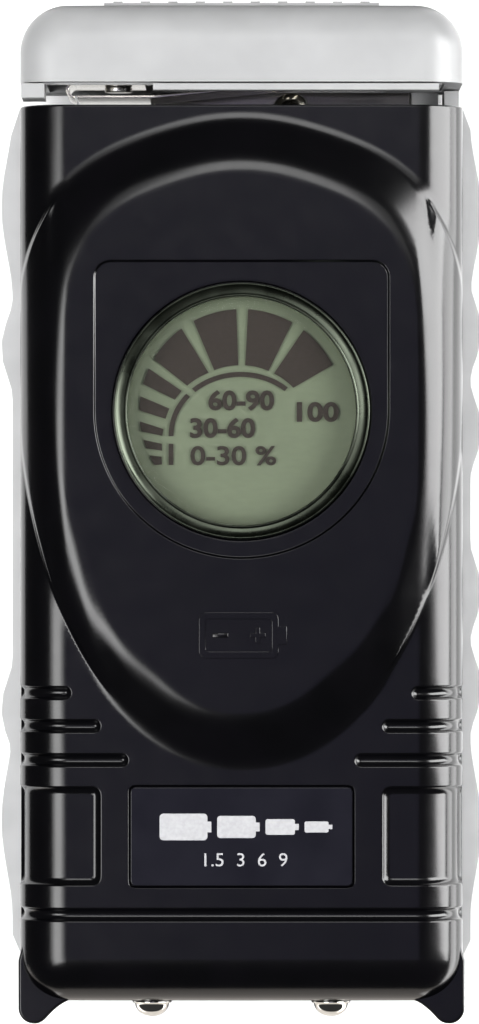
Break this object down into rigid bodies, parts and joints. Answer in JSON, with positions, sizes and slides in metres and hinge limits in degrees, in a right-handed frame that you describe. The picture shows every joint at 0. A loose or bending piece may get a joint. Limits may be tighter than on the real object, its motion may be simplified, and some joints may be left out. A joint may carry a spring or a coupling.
{
  "type": "battery tester",
  "caption": "Hand-held battery tester with a round segment display, a pull-out sprung contact head for round cells and two dome contacts between horns for block batteries.",
  "frame": {"origin": "middle of the flat back, at the bottom centre of the whole tester's bounding box, with the tester lying on its back", "axes": "+X across the body to the right as the display is read, +Y along the body towards the sliding head, +Z out of the display face"},
  "size_m": [0.0528, 0.1114, 0.025],
  "materials": {
    "black_plastic": "satin black moulded plastic",
    "silver_plastic": "silver-grey moulded plastic, fine metallic fleck",
    "grey_plastic": "mid-grey moulded plastic",
    "gloss_black": "gloss black",
    "clear_plastic": "clear polycarbonate",
    "display_glass": "liquid crystal glass over a reflector",
    "chrome": "bright plated",
    "nickel": "nickel-plated spring metal",
    "steel": "zinc-plated steel",
    "board_green": "solder-masked laminate",
    "white_plastic": "white moulded plastic",
    "grey_rubber": "layered conductive elastomer",
    "chip_black": "moulded epoxy",
    "label": "silver foil label, blank",
    "copper": "beryllium copper strip"
  },
  "bodies": {
    "body": {"front_shell": "black_plastic", "rear_shell": "silver_plastic", "rear_label": "label", "shell_screw_1": "steel", "shell_screw_2": "steel", "shell_screw_3": "steel", "name_plate": "gloss_black", "display_lens": "clear_plastic", "display_ring": "chrome", "display_front_glass": "display_glass", "display_rear_glass": "display_glass", "display_reflector": "white_plastic", "display_frame": "white_plastic", "zebra_strip_upper": "grey_rubber", "zebra_strip_lower": "grey_rubber", "chassis": "grey_plastic", "main_board": "board_green", "board_screw_1": "steel", "board_screw_2": "steel", "board_screw_3": "steel", "controller_chip": "chip_black", "load_resistor_1": "white_plastic", "load_resistor_2": "white_plastic", "capacitor": "gloss_black", "protection_diode": "chip_black", "block_contact_left": "nickel", "block_contact_right": "nickel", "pole_contact": "nickel", "stem_wiper": "copper"},
    "slider": {"slider_stem": "silver_plastic", "stem_contact_plate": "nickel", "head_cover": "silver_plastic", "head_base": "silver_plastic", "head_grip_pad": "grey_plastic", "contact_leaf_root": "nickel", "leaf_rivet": "steel", "head_screw_1": "steel", "head_screw_2": "steel"},
    "leaf": {"contact_leaf_blade": "nickel"}
  },
  "joints": [
    {"name": "head_slide", "type": "slide", "parent": "body", "child": "slider", "axis": [0, 1, 0], "range_m": [0, 0.0622]},
    {"name": "leaf_flex", "type": "hinge", "parent": "slider", "child": "leaf", "pos_m": [-0.0182, 0.04515, 0.0146], "axis": [0, 0, 1], "range_deg": [0, 2.5], "stiffness_Nm_per_rad": 0.5}
  ]
}
